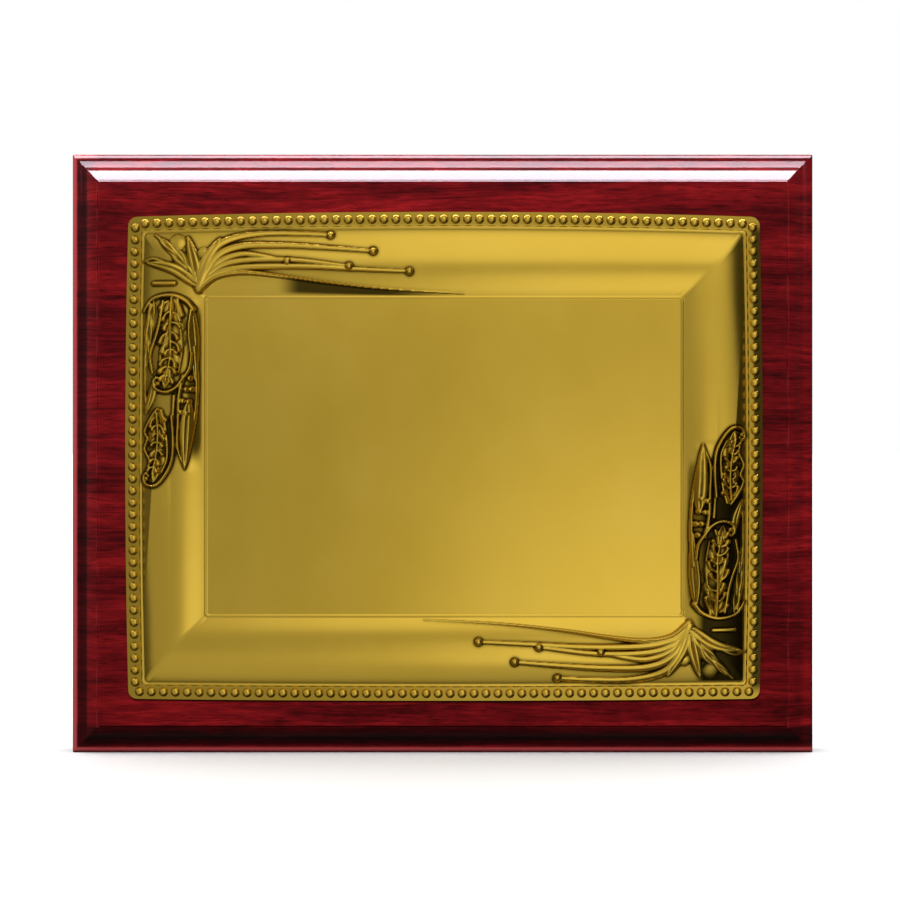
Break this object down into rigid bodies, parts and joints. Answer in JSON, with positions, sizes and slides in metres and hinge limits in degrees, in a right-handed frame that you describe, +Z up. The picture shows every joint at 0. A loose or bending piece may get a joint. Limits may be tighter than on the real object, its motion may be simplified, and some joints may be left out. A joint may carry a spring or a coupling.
{
  "type": "award plaque",
  "caption": "Upright wooden award plaque with a moulded lacquered board, an embossed brass plate, keyhole hangers and a hinged easel strut that folds flat.",
  "frame": {"origin": "middle of the board's lower back edge, on the surface that the plaque stands on", "axes": "+X to the viewer's right, +Y back towards the wall, +Z up; the decorated face looks along -Y"},
  "size_m": [0.26, 0.031, 0.21],
  "materials": {
    "lacquered_wood": "high-gloss lacquer over dark red rosewood grain",
    "flocked_lining": "black flocked sheet",
    "embossed_brass": "satin gold-coloured stamped sheet, brighter on the relief",
    "foam_pad": "white closed-cell foam",
    "mounting_tape": "double-sided mounting tape",
    "zinc_steel": "zinc-plated sheet steel",
    "screw_steel": "bright zinc-plated steel",
    "bumper_rubber": "matt black rubber",
    "black_hardboard": "hardboard covered in black leather-grain paper"
  },
  "bodies": {
    "plaque": {"board": "lacquered_wood", "back_lining": "flocked_lining", "award_plate": "embossed_brass", "panel_pad": "foam_pad", "tape_top": "mounting_tape", "tape_bottom": "mounting_tape", "tape_left": "mounting_tape", "tape_right": "mounting_tape", "hanger_plate_left": "zinc_steel", "hanger_plate_right": "zinc_steel", "hanger_screws": "screw_steel", "bumper_top_left": "bumper_rubber", "bumper_top_right": "bumper_rubber", "bumper_bottom_left": "bumper_rubber", "bumper_bottom_right": "bumper_rubber", "hinge_base": "zinc_steel", "hinge_screws": "screw_steel", "hinge_pin": "screw_steel"},
    "strut": {"hinge_leaf": "zinc_steel", "leaf_rivets": "screw_steel", "strut_leg": "black_hardboard", "strut_foot": "bumper_rubber"}
  },
  "joints": [
    {"name": "strut_hinge", "type": "hinge", "parent": "plaque", "child": "strut", "pos_m": [0, 0.0045, 0.125], "axis": [1, 0, 0], "range_deg": [0, 28]}
  ]
}
